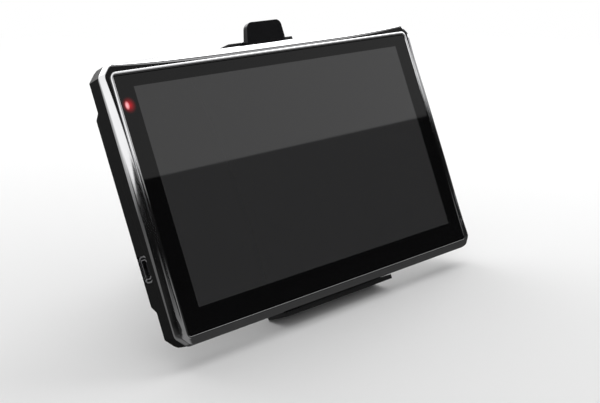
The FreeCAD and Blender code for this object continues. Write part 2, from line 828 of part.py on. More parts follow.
def audio_jack():
    start = jack_start()
    end = start + JACK_LENGTH
    half = JACK_BODY / 2
    body = box(start, end, jack_y() - JACK_HEIGHT / 2, jack_y() + JACK_HEIGHT / 2,
               jack_z - half, jack_z + half)
    nose = rod(JACK_NOSE_RADIUS, (end, jack_y(), jack_z), (1, 0, 0), jack_mouth() - end)
    bore_start = start + JACK_END
    bore = rod(JACK_BORE, (bore_start, jack_y(), jack_z), (1, 0, 0), jack_mouth() - bore_start)
    return joined([body, nose]).cut(bore)


def jack_hole():
    start = (jack_mouth() - JACK_NOSE_LENGTH, jack_y(), jack_z)
    return rod(JACK_NOSE_RADIUS + PORT_CLEARANCE, start, (1, 0, 0), JACK_NOSE_LENGTH + 2 * WALL)


# Power button
def button_wall(y):
    return case.top - cover_inset(y)


def button_top():
    return button_wall(BUTTON_FRONT + BUTTON_DEPTH / 2) + BUTTON_PROUD


def button_shoulder():
    return button_wall(BUTTON_FRONT + BUTTON_DEPTH) - WALL - BUTTON_GAP


def button_hole():
    half = BUTTON_LENGTH / 2 + BUTTON_GAP
    return box(BUTTON_X - half, BUTTON_X + half, BUTTON_FRONT - BUTTON_GAP,
               BUTTON_FRONT + BUTTON_DEPTH + BUTTON_GAP, button_shoulder(), case.top + WALL)


def power_button():
    half = BUTTON_LENGTH / 2
    back = BUTTON_FRONT + BUTTON_DEPTH
    shoulder = button_shoulder()
    foot = shoulder - BUTTON_FLANGE_HEIGHT
    cap = box(BUTTON_X - half, BUTTON_X + half, BUTTON_FRONT, back, foot, button_top())
    cap = rounded(cap, 0.5, lambda e: abs(e.CenterOfMass.z - button_top()) < 0.01)
    flange = box(BUTTON_X - half - BUTTON_FLANGE, BUTTON_X + half + BUTTON_FLANGE, BUTTON_FRONT, back,
                 foot, shoulder)
    middle = (BUTTON_FRONT + back) / 2
    stem_foot = board_top + SWITCH_NUB_HEIGHT + BUTTON_TRAVEL + BUTTON_GAP
    stem = rod(BUTTON_STEM / 2, (BUTTON_X, middle, stem_foot), (0, 0, 1), foot - stem_foot)
    return joined([cap, flange, stem])


def power_switch():
    width, depth, height = SWITCH_SIZE
    middle = BUTTON_FRONT + BUTTON_DEPTH / 2
    body = box(BUTTON_X - width / 2, BUTTON_X + width / 2, middle - depth / 2, middle + depth / 2,
               board_top - height, board_top)
    nub = rod(SWITCH_NUB, (BUTTON_X, middle, board_top), (0, 0, 1), SWITCH_NUB_HEIGHT)
    return joined([body, nub])


# Cradle
def cradle_profile():
    """Side view of the cradle plate: shelf, back, step and flange."""
    step = PAD_THICKNESS * ramp_shift
    front_turn = block_top + step
    back_turn = front_turn + PLATE_THICKNESS * ramp_shift
    lip_low = case.top + FLANGE_TOP_GAP
    lip_high = lip_low + FLANGE_THICKNESS
    return [(SHELF_FRONT, shelf_bottom), (plate_back, shelf_bottom), (plate_back, back_turn),
            (flange_back, back_turn + BLOCK_RISE), (flange_back, lip_high), (FLANGE_FRONT, lip_high),
            (FLANGE_FRONT, lip_low), (flange_front, lip_low), (flange_front, front_turn + BLOCK_RISE),
            (plate_front, front_turn), (plate_front, shelf_top), (SHELF_FRONT, shelf_top)]


def window_half():
    return TAB_HALF_WIDTH + WINDOW_GAP


def cradle_plate():
    body = prism_x(cradle_profile(), -SHELF_HALF_WIDTH, SHELF_HALF_WIDTH)
    neck = block_top + BLOCK_RISE
    high = case.top + FLANGE_TOP_GAP + 2 * FLANGE_THICKNESS
    cuts = []
    for side in SIDES:
        reach = side * (SHELF_HALF_WIDTH + WALL)
        plate = [(side * PLATE_HALF_WIDTH, shelf_top + PAD_EDGE_GAP),
                 (side * PLATE_HALF_WIDTH, neck - PAD_EDGE_GAP),
                 (side * (FLANGE_HALF_WIDTH + FLANGE_SLOPE), neck + FLANGE_SLOPE),
                 (side * FLANGE_HALF_WIDTH, high), (reach, high), (reach, shelf_top + PAD_EDGE_GAP / 2),
                 (side * SHELF_HALF_WIDTH, shelf_top + PAD_EDGE_GAP / 2)]
        cuts.append(plate_cut(plate, plate_back))
    window_bottom = latch_pin_z - LATCH_EYE - WINDOW_BOTTOM_GAP
    cuts.append(box(-window_half(), window_half(), 0, block_depth + BLOCK_RISE, window_bottom, high))
    body = body.cut(cuts)
    body = rounded(body, 1.0, lambda e: runs_along(e, Z) and abs(e.CenterOfMass.y - plate_back) < 0.01)
    cheeks = []
    for side in SIDES:
        inner = side * window_half()
        outer = side * (window_half() + CHEEK_WIDTH)
        cheeks.append(box(min(inner, outer), max(inner, outer), flange_front, latch_pin_y + LATCH_EYE,
                          latch_pin_z - CHEEK_HALF_HEIGHT, latch_pin_z + CHEEK_HALF_HEIGHT))
    ribs = [box(side * RIB_X - RIB_HALF_WIDTH, side * RIB_X + RIB_HALF_WIDTH, plate_back,
                plate_back + RIB_HEIGHT, shelf_top + PAD_EDGE_GAP, neck - PAD_EDGE_GAP) for side in SIDES]
    body = joined([body] + cheeks + ribs)
    holes = [pin_hole(LATCH_PIN_RADIUS)]
    holes += [rod(SOCKET_SCREW_RADIUS, (x, plate_front, z), (0, 1, 0), PLATE_THICKNESS)
              for x, z in socket_spots()]
    return body.cut(holes)


def plate_cut(points, back):
    corners = [Vector(x, 0, z) for x, z in points]
    face = Part.Face(Part.makePolygon(corners + corners[:1]))
    return face.extrude(Vector(0, back + WALL, 0))


def pin_half():
    return window_half() + CHEEK_WIDTH


def pin_hole(radius):
    return rod(radius, (-pin_half(), latch_pin_y, latch_pin_z), (1, 0, 0), 2 * pin_half())


def latch_pin():
    return pin_hole(LATCH_PIN_RADIUS)


def latch_spring():
    start = (-SPRING_HALF_LENGTH, latch_pin_y, latch_pin_z)
    coil = rod(SPRING_RADIUS, start, (1, 0, 0), 2 * SPRING_HALF_LENGTH)
    bore = rod(SPRING_RADIUS - SPRING_WIRE, start, (1, 0, 0), 2 * SPRING_HALF_LENGTH)
    y = latch_pin_y + SPRING_RADIUS
    leg = box(SPRING_HALF_LENGTH - SPRING_WIRE, SPRING_HALF_LENGTH, y - SPRING_WIRE, y,
              latch_pin_z - SPRING_LEG, latch_pin_z)
    return joined([coil, leg]).cut(bore)


def tab_corner(edge):
    """A tapered side's edge at the tab's top."""
    spots = [v.Point for v in edge.Vertexes]
    return all(abs(p.z - TAB_TOP) < 0.01 for p in spots) and abs(spots[0].x - spots[-1].x) < 0.01


def release_latch():
    low = case.top + FINGER_GAP
    high = low + FINGER_THICKNESS
    back = flange_front + LATCH_PLATE
    tab_back = TAB_FRONT + TAB_THICKNESS
    profile = [(flange_front, latch_pin_z), (back, latch_pin_z), (back, high), (tab_back, high),
               (tab_back - TAB_LEAN, TAB_TOP), (TAB_FRONT - TAB_LEAN, TAB_TOP), (TAB_FRONT, low),
               (flange_front, low)]
    body = prism_x(profile, -TAB_HALF_WIDTH, TAB_HALF_WIDTH)
    tips = []
    for side in SIDES:
        tips.append(plate_cut([(side * TAB_HALF_WIDTH, high), (side * TAB_HALF_WIDTH, TAB_TOP),
                               (side * (TAB_HALF_WIDTH - TAB_TAPER), TAB_TOP)], back))
    body = body.cut(tips)
    body = rounded(body, TAB_ROUND, tab_corner)
    eye = rod(LATCH_EYE, (-TAB_HALF_WIDTH, latch_pin_y, latch_pin_z), (1, 0, 0), 2 * TAB_HALF_WIDTH)
    gap = SPRING_HALF_LENGTH + WINDOW_GAP
    room = rod(LATCH_EYE + WINDOW_GAP, (-gap, latch_pin_y, latch_pin_z), (1, 0, 0), 2 * gap)
    return joined([body, eye]).cut([pin_hole(LATCH_PIN_RADIUS + LATCH_PIN_FIT), room])


def cradle_pads():
    width, height = PAD_SIZE
    low = block_bottom + PAD_EDGE_GAP
    high = block_top - PAD_EDGE_GAP
    pads = [box(-width / 2, width / 2, block_depth, plate_front, low, low + height),
            box(-width / 2, width / 2, block_depth, plate_front, high - height, high)]
    half = SHELF_HALF_WIDTH - PAD_EDGE_GAP
    pads.append(box(-half, half, SHELF_PAD_FRONT, BASE_DEPTH - REAR_EDGE,
                    shelf_top, case.bottom - SHELF_PAD_GAP))
    return apart(pads)


# Ball joint
def socket_spots():
    return [(a * SOCKET_SCREW, ball_z + b * SOCKET_SCREW) for a in SIDES for b in SIDES]


def about_ball(shape):
    """Stands a shape drawn about the z axis on the ball's centre, with z turned to point back."""
    placed = shape.copy()
    placed.rotate(Vector(0, 0, 0), X, -90)
    placed.translate(Vector(0, ball_y, ball_z))
    return placed


def ball_socket():
    foot = plate_back - ball_y
    flange = box(-SOCKET_FLANGE, SOCKET_FLANGE, plate_back, plate_back + SOCKET_FLANGE_THICKNESS,
                 ball_z - SOCKET_FLANGE, ball_z + SOCKET_FLANGE)
    flange = rounded(flange, 3.0, lambda e: runs_along(e, Y))
    cup = about_ball(Part.makeCylinder(SOCKET_RADIUS, SOCKET_MOUTH - foot, Vector(0, 0, foot)))
    seat = about_ball(Part.makeSphere(ball_seat))
    holes = [rod(SOCKET_SCREW_RADIUS, (x, plate_back, z), (0, 1, 0), SOCKET_FLANGE_THICKNESS)
             for x, z in socket_spots()]
    return joined([flange, cup]).cut([seat] + holes)


def socket_screws():
    screws = []
    top = plate_back + SOCKET_FLANGE_THICKNESS
    for x, z in socket_spots():
        shank = rod(SOCKET_SCREW_RADIUS, (x, plate_front, z), (0, 1, 0), top - plate_front)
        head = rod(SOCKET_HEAD_RADIUS, (x, top, z), (0, 1, 0), SOCKET_HEAD_HEIGHT)
        cross = slotted(x, top + SOCKET_HEAD_HEIGHT, z, SOCKET_HEAD_RADIUS)
        screws.append(joined([shank, head]).cut(cross))
    return apart(screws)


def ring_nut():
    start = -NUT_START
    body = Part.makeCylinder(NUT_RADIUS, NUT_END - start, Vector(0, 0, start))
    ribs = []
    for index in range(NUT_RIBS):
        turn = 2 * math.pi * index / NUT_RIBS
        spot = Vector(NUT_RADIUS * math.cos(turn), NUT_RADIUS * math.sin(turn), start)
        ribs.append(Part.makeCylinder(NUT_RIB_RADIUS, NUT_END - start - NUT_RIB_RADIUS, spot))
    body = joined([body] + ribs)
    thread = Part.makeCylinder(SOCKET_RADIUS + NUT_FIT, SOCKET_MOUTH + SEAT_FIT - start,
                               Vector(0, 0, start))
    slope = math.tan(math.radians(NUT_OPENING))
    flare = Part.makeCone(0, 2 * NUT_END * slope, 2 * NUT_END)
    return about_ball(body.cut([thread, Part.makeSphere(ball_seat), flare]))


def ball_liner():
    outer = Part.makeSphere(ball_seat - SEAT_FIT)
    inner = Part.makeSphere(BALL_RADIUS + LINER_FIT)
    reach = 2 * BALL_RADIUS
    mouth = Part.makeCone(0, reach * math.tan(math.radians(LINER_OPENING)), reach)
    floor = Part.makeCylinder(reach, reach, Vector(0, 0, -LINER_BACK - reach))
    return about_ball(outer.cut([inner, mouth, floor]))


def ball_stem():
    stem = Part.makeCylinder(STEM_RADIUS, ARM_START + STEM_BITE)
    return about_ball(joined([Part.makeSphere(BALL_RADIUS), stem]))


# Arm
def swivel_arm():
    start = ball_y + ARM_START
    angle = math.acos((KNUCKLE_RADIUS - ARM_HALF_HEIGHT) / (hinge_y - start))
    ty = hinge_y - KNUCKLE_RADIUS * math.cos(angle)
    tz = KNUCKLE_RADIUS * math.sin(angle)
    bar = prism_x([(start, ball_z - ARM_HALF_HEIGHT), (ty, ball_z - tz), (hinge_y, ball_z),
                   (ty, ball_z + tz), (start, ball_z + ARM_HALF_HEIGHT)],
                  -KNUCKLE_HALF_WIDTH, KNUCKLE_HALF_WIDTH)
    end = (-KNUCKLE_HALF_WIDTH, hinge_y, ball_z)
    knuckle = rod(KNUCKLE_RADIUS, end, (1, 0, 0), 2 * KNUCKLE_HALF_WIDTH)
    body = joined([bar, knuckle])
    body = rounded(body, 1.5, lambda e: abs(e.CenterOfMass.y - start) < 0.01 and runs_along(e, Z))
    stem = rod(STEM_RADIUS + SCREW_FIT, (0, start, ball_z), (0, 1, 0), STEM_BITE)
    bolt = rod(BOLT_RADIUS + BOLT_FIT, end, (1, 0, 0), 2 * KNUCKLE_HALF_WIDTH)
    return body.cut([stem, bolt])


def friction_washers():
    washers = []
    for side in SIDES:
        x = min(side * KNUCKLE_HALF_WIDTH, side * ear_inside)
        disc = rod(WASHER_RADIUS, (x, hinge_y, ball_z), (1, 0, 0), WASHER_THICKNESS)
        hole = rod(BOLT_RADIUS + BOLT_FIT, (x, hinge_y, ball_z), (1, 0, 0), WASHER_THICKNESS)
        washers.append(disc.cut(hole))
    return apart(washers)


# Clamp
def clamp_bolt():
    shank = rod(BOLT_RADIUS, (-ear_outside, 0, HINGE_HEIGHT), (1, 0, 0),
                2 * ear_outside + KNOB_GAP + INSERT_LENGTH)
    head = rod(BOLT_HEAD_RADIUS, (-ear_outside - BOLT_HEAD_HEIGHT, 0, HINGE_HEIGHT), (1, 0, 0),
               BOLT_HEAD_HEIGHT)
    head = rounded(head, 0.8, lambda e: e.CenterOfMass.x < -ear_outside - BOLT_HEAD_HEIGHT + 0.01)
    return joined([head, shank])


def clamp_knob():
    start = ear_outside + KNOB_GAP
    body = rod(KNOB_RADIUS, (start, 0, HINGE_HEIGHT), (1, 0, 0), KNOB_LENGTH)
    cuts = []
    for index in range(KNOB_LOBES):
        turn = 2 * math.pi * index / KNOB_LOBES
        spot = (start, KNOB_LOBE_OUT * math.cos(turn), HINGE_HEIGHT + KNOB_LOBE_OUT * math.sin(turn))
        cuts.append(rod(KNOB_LOBE_RADIUS, spot, (1, 0, 0), KNOB_LENGTH))
    cuts.append(rod(INSERT_RADIUS, (start, 0, HINGE_HEIGHT), (1, 0, 0), INSERT_LENGTH))
    cuts.append(rod(BOLT_RADIUS + BOLT_FIT, (start, 0, HINGE_HEIGHT), (1, 0, 0), INSERT_LENGTH + WALL))
    return body.cut(cuts)


def knob_insert():
    start = ear_outside + KNOB_GAP
    sleeve = rod(INSERT_RADIUS, (start, 0, HINGE_HEIGHT), (1, 0, 0), INSERT_LENGTH)
    return sleeve.cut(rod(BOLT_RADIUS + BOLT_FIT, (start, 0, HINGE_HEIGHT), (1, 0, 0), INSERT_LENGTH))


# Base
def suction_cup():
    body = turned([(0, 0), (CUP_RADIUS, 0), (CUP_RADIUS, CUP_RIM), (CUP_FLAT_OUT, CUP_SHOULDER),
                   (CUP_FLAT_IN, CUP_SHOULDER), (CUP_HUB_RADIUS, CUP_HUB_FOOT),
                   (CUP_HUB_RADIUS, CUP_HUB_TOP), (0, CUP_HUB_TOP)])
    pocket = rod(PLUNGER_DISC + PLUNGER_GAP, (0, 0, CUP_FLOOR), (0, 0, 1),
                 disc_top + PLUNGER_GAP - CUP_FLOOR)
    hole = rod(PLUNGER_RADIUS + PLUNGER_GAP, (0, 0, CUP_FLOOR), (0, 0, 1), CUP_HUB_TOP)
    return body.cut([pocket, hole])


def base_housing():
    skirt_top = CUP_SHOULDER + HOUSING_SKIRT
    w = HOUSING_WALL
    dome = turned([(0, CUP_SHOULDER), (HOUSING_RADIUS, CUP_SHOULDER), (HOUSING_RADIUS, skirt_top),
                   (HOUSING_KNEE_RADIUS, HOUSING_KNEE), (HOUSING_CROWN_RADIUS, HOUSING_TOP),
                   (0, HOUSING_TOP)])
    inside = turned([(0, CUP_SHOULDER), (HOUSING_RADIUS - w, CUP_SHOULDER),
                     (HOUSING_RADIUS - w, skirt_top), (HOUSING_KNEE_RADIUS - w, HOUSING_KNEE - w),
                     (HOUSING_CROWN_RADIUS - w, HOUSING_TOP - w), (0, HOUSING_TOP - w)])
    guide_foot = tail_top + GUIDE_GAP
    guide = rod(GUIDE_RADIUS, (0, 0, guide_foot), (0, 0, 1), HOUSING_TOP - guide_foot)
    pieces = [dome.cut(inside), guide]
    for side in SIDES:
        ear_x = min(side * ear_inside, side * ear_outside)
        pieces.append(rod(KNUCKLE_RADIUS, (ear_x, 0, HINGE_HEIGHT), (1, 0, 0), EAR_THICKNESS))
        pieces.append(box(ear_x, ear_x + EAR_THICKNESS, -KNUCKLE_RADIUS, KNUCKLE_RADIUS,
                          HOUSING_TOP - w, HINGE_HEIGHT))
        inner = side * (LEVER_HALF_WIDTH + LEVER_GAP)
        outer = side * (LEVER_HALF_WIDTH + LEVER_GAP + LEVER_CHEEK)
        cheek_x = min(inner, outer)
        pieces.append(rod(LEVER_CHEEK_RADIUS, (cheek_x, LEVER_PIN_Y, lever_pin_z), (1, 0, 0),
                          LEVER_CHEEK))
        pieces.append(box(cheek_x, cheek_x + LEVER_CHEEK, LEVER_PIN_Y - LEVER_CHEEK_RADIUS,
                          LEVER_PIN_Y + LEVER_CHEEK_RADIUS, HOUSING_TOP - 2 * LEVER_CHEEK_RADIUS,
                          lever_pin_z))
    body = joined(pieces)
    slot = LEVER_HALF_WIDTH + LEVER_GAP
    reach = 2 * HOUSING_RADIUS
    cuts = [box(-slot, slot, GUIDE_RADIUS, reach, CUP_HUB_TOP, reach),
            rod(PLUNGER_RADIUS + PLUNGER_FIT, (0, 0, 0), (0, 0, 1), tail_top + GUIDE_DEPTH + GUIDE_GAP),
            rod(BOLT_RADIUS + BOLT_FIT, (-ear_outside, 0, HINGE_HEIGHT), (1, 0, 0), 2 * ear_outside),
            rod(LEVER_PIN_RADIUS, (-slot - LEVER_CHEEK, LEVER_PIN_Y, lever_pin_z), (1, 0, 0),
                2 * (slot + LEVER_CHEEK))]
    return body.cut(cuts)


def lever_pin():
    half = LEVER_HALF_WIDTH + LEVER_GAP + LEVER_CHEEK
    return rod(LEVER_PIN_RADIUS, (-half, LEVER_PIN_Y, lever_pin_z), (1, 0, 0), 2 * half)


def suction_lever():
    turn = math.radians(180 - LEVER_SWING / 2)
    cam_y = LEVER_PIN_Y + cam_throw * math.cos(turn)
    cam_z = lever_pin_z + cam_throw * math.sin(turn)
    cam = rod(CAM_RADIUS, (-LEVER_HALF_WIDTH, cam_y, cam_z), (1, 0, 0), 2 * LEVER_HALF_WIDTH)
    low_root = (HANDLE_START, HANDLE_ROOT_LOW)
    high_root = (HANDLE_START, HANDLE_ROOT_HIGH)
    root = prism_x([(LEVER_PIN_Y, lever_pin_z), low_root, high_root, (cam_y, cam_z + CAM_RADIUS)],
                   -LEVER_HALF_WIDTH, LEVER_HALF_WIDTH)
    grip = prism_x([low_root, (HANDLE_END, HANDLE_TIP_LOW), (HANDLE_END, HANDLE_TIP_HIGH), high_root],
                   -HANDLE_HALF_WIDTH, HANDLE_HALF_WIDTH)
    grip = rounded(grip, HANDLE_ROUND,
                   lambda e: abs(e.CenterOfMass.y - HANDLE_END) < 0.01 and runs_along(e, Z))
    hole = rod(LEVER_PIN_RADIUS + LEVER_PIN_FIT, (-LEVER_HALF_WIDTH, LEVER_PIN_Y, lever_pin_z), (1, 0, 0),
               2 * LEVER_HALF_WIDTH)
    return joined([cam, root, grip]).cut(hole)


def plunger():
    disc = rod(PLUNGER_DISC, (0, 0, disc_bottom), (0, 0, 1), PLUNGER_DISC_HEIGHT)
    stem = rod(PLUNGER_RADIUS, (0, 0, disc_bottom), (0, 0, 1), tail_top + GUIDE_DEPTH - disc_bottom)
    tail = box(-TAIL_HALF_WIDTH, TAIL_HALF_WIDTH, TAIL_FRONT, TAIL_END, TAIL_BOTTOM, tail_top)
    return joined([disc, stem, tail])


DEVICE_PARTS = [cover_glass, front_frame, rear_cover, glass_tape, lcd_panel, backlight_tray, display_ribbon,
                main_board, board_screws, processor, memory_chips, shield_can, gps_antenna, battery,
                battery_lead, speaker, speaker_mesh, status_led, usb_socket, usb_tongue, card_socket,
                audio_jack, power_switch, case_screws, power_button, memory_card, cradle_plate, cradle_pads,
                latch_pin, latch_spring, release_latch, ball_socket, socket_screws, ring_nut, ball_liner,
                ball_stem, swivel_arm, friction_washers]
BASE_PARTS = [clamp_bolt, clamp_knob, knob_insert, suction_cup, base_housing, lever_pin, suction_lever,
              plunger]

os.makedirs("parts", exist_ok=True)
for make in DEVICE_PARTS + BASE_PARTS:
    shape = make()
    if make in DEVICE_PARTS:
        shape = leaned(shape)
    if not shape.isValid() or not shape.Solids:
        print("check", make.__name__)
    shape.exportStep("parts/" + make.__name__ + ".step")

print("display centre", (0.0, display_y, display_z))
print("ball centre", row_point(0, ball_y, ball_z))
print("arm hinge", (0.0, 0.0, HINGE_HEIGHT))
print("tip pivot", row_point(0, SHELF_FRONT, shelf_top + SHELF_GAP / 2))
print("latch pivot", row_point(0, latch_pin_y, latch_pin_z))
print("lever pivot", (0.0, LEVER_PIN_Y, lever_pin_z))
print("jack mouth", row_point(jack_mouth(), jack_y(), jack_z))
print("jack end", row_point(jack_start() + JACK_END, jack_y(), jack_z))
print("usb mouth", row_point(-usb_face() + USB_MOUTH_INSET, board_back + USB_HEIGHT / 2, usb_z))
print("card mouth", row_point(card_face(), card_y(), card_z))
print("nodes", len(DEVICE_PARTS + BASE_PARTS))
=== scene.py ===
import json
import math

import bmesh
import bpy
from mathutils import Matrix, Vector


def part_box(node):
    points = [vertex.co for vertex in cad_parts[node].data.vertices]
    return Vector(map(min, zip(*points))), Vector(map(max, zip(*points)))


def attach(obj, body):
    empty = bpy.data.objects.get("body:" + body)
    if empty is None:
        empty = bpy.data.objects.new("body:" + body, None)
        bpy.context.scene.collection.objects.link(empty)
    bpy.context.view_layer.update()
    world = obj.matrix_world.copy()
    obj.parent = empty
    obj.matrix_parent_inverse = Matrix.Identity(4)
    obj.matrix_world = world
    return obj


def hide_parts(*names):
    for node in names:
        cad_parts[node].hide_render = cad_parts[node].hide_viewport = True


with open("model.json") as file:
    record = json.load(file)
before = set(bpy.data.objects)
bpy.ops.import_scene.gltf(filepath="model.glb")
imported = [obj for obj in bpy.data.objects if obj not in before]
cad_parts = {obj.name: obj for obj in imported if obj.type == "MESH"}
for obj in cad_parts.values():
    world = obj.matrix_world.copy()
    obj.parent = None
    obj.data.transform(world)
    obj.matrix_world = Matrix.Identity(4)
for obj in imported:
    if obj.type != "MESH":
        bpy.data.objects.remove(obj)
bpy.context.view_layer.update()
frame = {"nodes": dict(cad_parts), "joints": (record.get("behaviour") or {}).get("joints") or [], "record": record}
MM = 0.001


def joint_named(name):
    return next(joint for joint in frame["joints"] if joint["name"] == name)


# Cover glass and display, in millimetres from the display's centre
DISPLAY_HALF_WIDTH = 77.04
DISPLAY_HALF_HEIGHT = 42.96
GLASS_HALF_WIDTH = 85.04
GLASS_TOP = 47.76
GLASS_BOTTOM = -52.11
GLASS_CLIP = 0.5
GLASS_CORNER_ROUND = 0.3
GLASS_THICKNESS = 1.1
GLASS_EDGE = 0.15

# Front frame, outside and at its opening. Its edge lies further back towards the corners.
CASE_HALF_WIDTH = 89.84
CASE_TOP = 53.01
CASE_BOTTOM = -55.76
CASE_CLIP = 4.5
CASE_CORNER_ROUND = 1.3
LEAST_CLIP = 0.4
OPENING_GAP = 0.15
PARTING_Y = 3.0
PARTING_EASE = 0.1
RETURN_SHARE = 0.09
EDGE_Y = 1.1
EDGE_EASE = 0.15
EDGE_SWEEP = 1.4
EDGE_FOOT = 1.0
CREST = 0.35
CREST_SWEEP = 0.5
CREST_FOOT = 0.65
SLOPE_POWER = 1.6
SLOPE_STEPS = 10
SLOPE_START = 0.01
SLOPE_SHARE = (0.52, 0.12)
# Where the black sheet of painted shade in the groove begins, mid side and at the corners
SHADE_SHEET_SHARE = (0.69, 0.16)
GROOVE_Y = 0.25
GROOVE_WALL = 0.03
GROOVE_SWEEP = 0.2
GROOVE_FOOT = 0.02
LIP_SHARE = 0.71
# How far the black sheet of painted shade stands in front of and sinks behind the groove's floor
SHADE_SHEET_LIFT = 0.06
SHADE_SHEET_SINK = 0.1
LEDGE_Y = 1.3
FOOT_BAND = 2.0
SIDE_STEPS = 28
CORNER_STEPS = 4
EASED_PART = 0.45

# The lip's loops from the groove to the glass, and those behind it. Each has its share of the way in to the
# glass, its depth, and how much that grows towards the corners and towards the lower side.
LIP_LOOPS = ((LIP_SHARE - 0.02, GROOVE_Y, GROOVE_SWEEP, -0.22), (LIP_SHARE + 0.02, 0.1 - CREST, 0.0, 0.3),
             (LIP_SHARE + 0.07, -CREST, 0.0, 0.35), (0.94, -CREST, 0.0, 0.35),
             (0.97, 0.05 - CREST, 0.0, 0.31), (1.0, 0.2 - CREST, 0.0, 0.17))
INNER_LOOPS = ((1.0, LEDGE_Y), (0.62, LEDGE_Y + 0.1), (0.5, PARTING_Y))

# Indicator in the left border, and the charging port
LED_X = -82.5
LED_Z = 36.2
LED_GLOW_X = -81.6
LED_CORE = 0.75
LED_CORE_BLUR = 0.8
LED_STRETCH = 0.6
LED_GLOW = 3.5
LED_FALL = 1.8
PORT_Z = -24.0
PORT_Y = 9.15
PORT_WIDTH = 10.5
PORT_HEIGHT = 5.8

# Edges, in degrees and metres: what counts as sharp, as flat and as one point
SHARP_ANGLE = 32
FLAT_ANGLE = 0.6
WELD_DISTANCE = 2e-6
BEVEL_SEGMENTS = 3

# Lean and place of the display's centre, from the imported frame
roll_axis = joint_named("ball_roll")["axis"]
LEAN = math.atan2(-roll_axis[2], roll_axis[1])
glass_low, glass_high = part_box("cover_glass")
display_y = glass_low[1] - GLASS_BOTTOM * MM * math.sin(LEAN)
display_z = glass_high[2] - GLASS_TOP * MM * math.cos(LEAN)
DEVICE = Matrix.Translation((0, display_y, display_z)) @ Matrix.Rotation(-LEAN, 4, "X")
MILLIMETRES = Matrix.Scale(MM, 4)


# Shader helpers
class Signal:
    """A shader socket that can be used in sums."""

    def __init__(self, finish, socket):
        self.finish = finish
        self.socket = socket

    def maths(self, operation, *values, clamp=False):
        inputs = dict(enumerate(values))
        return self.finish.node("ShaderNodeMath", {"operation": operation, "use_clamp": clamp}, inputs)

    def __add__(self, other):
        return self.maths("ADD", self, other)

    __radd__ = __add__

    def __sub__(self, other):
        return self.maths("SUBTRACT", self, other)

    def __rsub__(self, other):
        return self.maths("SUBTRACT", other, self)

    def __mul__(self, other):
        return self.maths("MULTIPLY", self, other)

    __rmul__ = __mul__

    def __truediv__(self, other):
        return self.maths("DIVIDE", self, other)

    def __pow__(self, other):
        return self.maths("POWER", self, other)

    def __abs__(self):
        return self.maths("ABSOLUTE", self)

    def fraction(self):
        return self.maths("FRACT", self)

    def at_most(self, limit):
        return self.maths("MINIMUM", self, limit)

    def either(self, other):
        return self.maths("MAXIMUM", self, other)

    def above(self, edge, blur):
        """0 below the edge and 1 above it, with a soft step between."""
        return self.maths("MULTIPLY_ADD", self, 1 / blur, 0.5 - edge / blur, clamp=True)

    def below(self, edge, blur):
        return self.maths("MULTIPLY_ADD", self, -1 / blur, 0.5 + edge / blur, clamp=True)


class Studio:
    """A node tree that plain calls fill in."""

    def __init__(self, tree):
        self.tree = tree

    def node(self, kind, settings=None, inputs=None, output=0):
        made = self.tree.nodes.new(kind)
        for setting, value in (settings or {}).items():
            setattr(made, setting, value)
        for socket, value in (inputs or {}).items():
            self.feed(made.inputs[socket], value)
        return Signal(self, made.outputs[output])

    def feed(self, socket, value):
        if isinstance(value, Signal):
            self.tree.links.new(value.socket, socket)
        else:
            socket.default_value = value

    def seen(self):
        """1 where the camera, a mirror or glass looks, and 0 for the light that falls on matt surfaces."""
        camera_ray, mirror_ray, glass_ray = [
            self.node("ShaderNodeLightPath", output=ray)
            for ray in ("Is Camera Ray", "Is Glossy Ray", "Is Transmission Ray")]
        return camera_ray.either(mirror_ray).either(glass_ray)


class Finish(Studio):
    """A material whose shader is driven by patterns on the object's own coordinates."""

    def __init__(self, name, colour, roughness, metallic=0.0, **constants):
        self.material = bpy.data.materials.new(name)
        self.material.use_nodes = True
        super().__init__(self.material.node_tree)
        self.shader = self.tree.nodes["Principled BSDF"]
        self.set("Base Color", (*colour, 1))
        self.set("Roughness", roughness)
        self.set("Metallic", metallic)
        for socket, value in constants.items():
            self.set(socket.replace("_", " "), value)
        self.material.diffuse_color = (*colour, 1)

    def set(self, socket, value):
        self.feed(self.shader.inputs[socket], value)

    def cover(self, factor, shader):
        """Lays a second shader over the first."""
        mixed_shader = self.node("ShaderNodeMixShader", inputs={0: factor, 2: shader})
        self.tree.links.new(self.shader.outputs["BSDF"], mixed_shader.socket.node.inputs[1])
        self.feed(self.tree.nodes["Material Output"].inputs["Surface"], mixed_shader)

    def place(self, scale=(1, 1, 1)):
        """Object coordinates, stretched."""
        where = self.node("ShaderNodeTexCoord", output="Object")
        return self.node("ShaderNodeMapping", inputs={"Vector": where, "Scale": scale})

    def device(self):
        """x, y and z in millimetres from the display's centre, square to the glass."""
        where = self.node("ShaderNodeTexCoord", output="Object")
        settings = {"vector_type": "TEXTURE"}
        inputs = {"Vector": where, "Location": (0, display_y, display_z),
                  "Rotation": (-LEAN, 0, 0), "Scale": (MM, MM, MM)}
        turned = self.node("ShaderNodeMapping", settings, inputs)
        return [self.node("ShaderNodeSeparateXYZ", inputs={0: turned}, output=axis) for axis in range(3)]

    def noise(self, size, detail=3.0, scale=(1, 1, 1)):
        """Cloudy noise from 0 to 1, with features of about that size in millimetres."""
        inputs = {"Vector": self.place(scale), "Scale": 1 / (size * MM), "Detail": detail}
        return self.node("ShaderNodeTexNoise", inputs=inputs, output="Fac")

    def cells(self, size):
        """Distance to the nearest of scattered points, with cells of about that size in millimetres."""
        inputs = {"Vector": self.place(), "Scale": 1 / (size * MM)}
        return self.node("ShaderNodeTexVoronoi", inputs=inputs, output="Distance")

    def spread(self, across, up):
        """Distance from a spot."""
        return self.node("ShaderNodeMath", {"operation": "SQRT"}, {0: across ** 2 + up ** 2})

    def mix(self, factor, first, second):
        inputs = {0: factor, 6: pigment(first), 7: pigment(second)}
        return self.node("ShaderNodeMix", {"data_type": "RGBA"}, inputs, 2)

    def bump(self, height, depth):
        """Depth in millimetres for a height from 0 to 1."""
        inputs = {"Height": height, "Distance": depth * MM, "Strength": 1.0}
        self.set("Normal", self.node("ShaderNodeBump", inputs=inputs))


